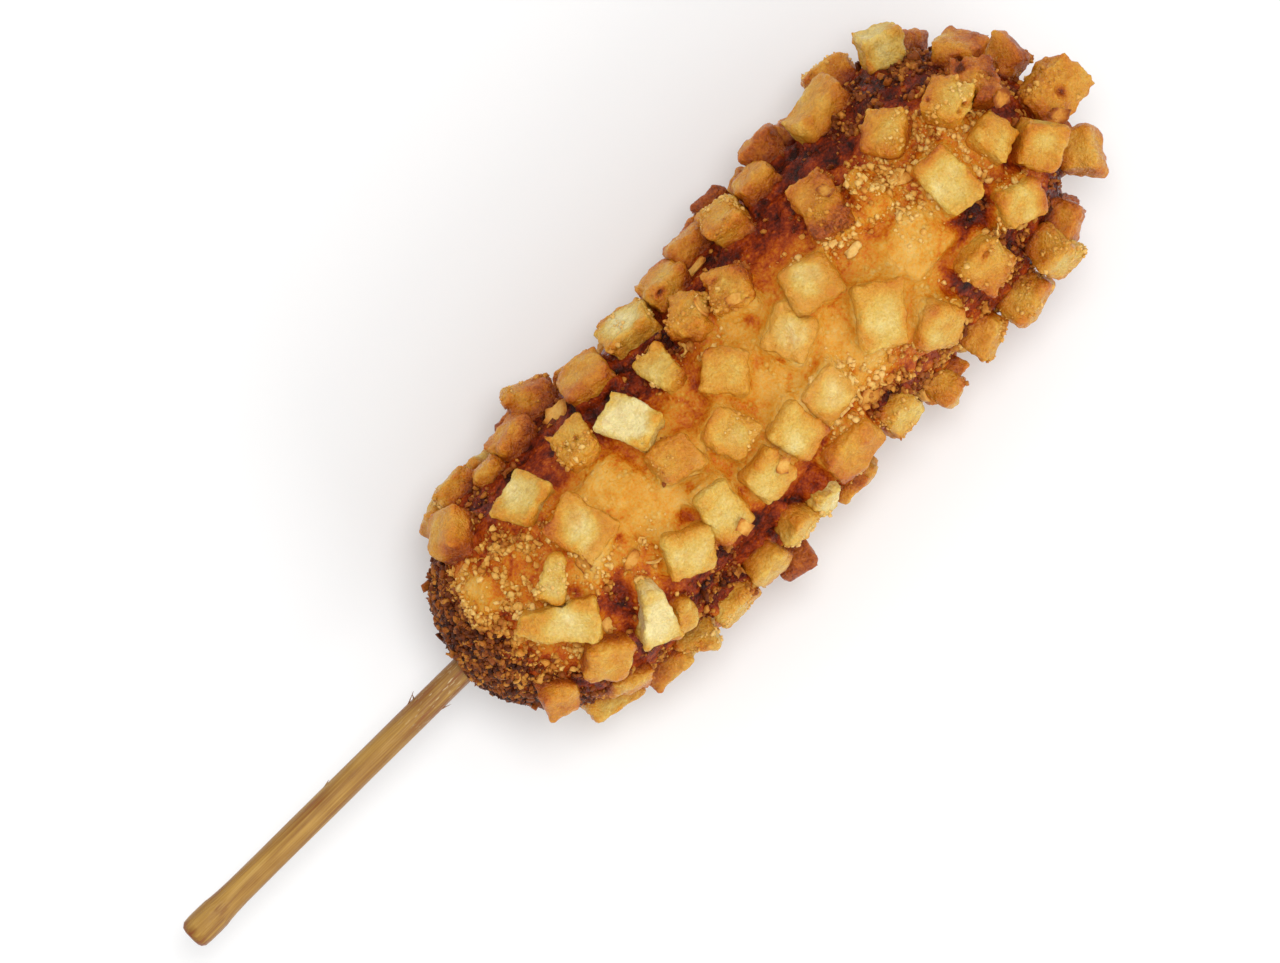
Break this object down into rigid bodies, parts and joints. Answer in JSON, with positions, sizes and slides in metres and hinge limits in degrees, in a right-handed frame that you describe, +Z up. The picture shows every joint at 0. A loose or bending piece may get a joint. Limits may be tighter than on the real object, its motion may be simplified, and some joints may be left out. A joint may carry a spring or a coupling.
{
  "type": "potato corn dog",
  "caption": "Fried corn dog on a bamboo stick, its batter coat set all over with crisp diced potato, lying on its side.",
  "frame": {"origin": "on the surface that it lies on, under the middle of its outline", "axes": "+X along the stick towards the dog's tip, +Z up out of the shown side"},
  "size_m": [0.2198, 0.064, 0.0544],
  "materials": {
    "bamboo": "smooth round bamboo, golden ochre with fine darker fibres, a little oily",
    "fried_batter": "fried batter, amber where thin and pale, dark red-brown at the sides, rough and granular at the stick's end",
    "fried_potato": "fried potato dice, pale yellow to golden, with browned blistered edges"
  },
  "bodies": {
    "root": {"stick": "bamboo", "batter": "fried_batter", "potato_die_01": "fried_potato", "potato_die_02": "fried_potato", "potato_die_03": "fried_potato", "potato_die_04": "fried_potato", "potato_die_05": "fried_potato", "potato_die_06": "fried_potato", "potato_die_07": "fried_potato", "potato_die_08": "fried_potato", "potato_die_09": "fried_potato", "potato_die_10": "fried_potato", "potato_die_11": "fried_potato", "potato_die_12": "fried_potato", "potato_die_13": "fried_potato", "potato_die_14": "fried_potato", "potato_die_15": "fried_potato", "potato_die_16": "fried_potato", "potato_die_17": "fried_potato", "potato_die_18": "fried_potato", "potato_die_19": "fried_potato", "potato_die_20": "fried_potato", "potato_die_21": "fried_potato", "potato_die_22": "fried_potato", "potato_die_23": "fried_potato", "potato_die_24": "fried_potato", "potato_die_25": "fried_potato", "potato_die_26": "fried_potato", "potato_die_27": "fried_potato", "potato_die_28": "fried_potato", "potato_die_29": "fried_potato", "potato_die_30": "fried_potato", "potato_die_31": "fried_potato", "potato_die_32": "fried_potato", "potato_die_33": "fried_potato", "potato_die_34": "fried_potato", "potato_die_35": "fried_potato", "potato_die_36": "fried_potato", "potato_die_37": "fried_potato", "potato_die_38": "fried_potato", "potato_die_39": "fried_potato", "potato_die_40": "fried_potato", "potato_die_41": "fried_potato", "potato_die_42": "fried_potato", "potato_die_43": "fried_potato", "potato_die_44": "fried_potato", "potato_die_45": "fried_potato", "potato_die_46": "fried_potato", "potato_die_47": "fried_potato", "potato_die_48": "fried_potato", "potato_die_49": "fried_potato", "potato_die_50": "fried_potato", "potato_die_51": "fried_potato", "potato_die_52": "fried_potato", "potato_die_53": "fried_potato", "potato_die_54": "fried_potato", "potato_die_55": "fried_potato", "potato_die_56": "fried_potato", "potato_die_57": "fried_potato", "potato_die_58": "fried_potato"}
  },
  "joints": []
}
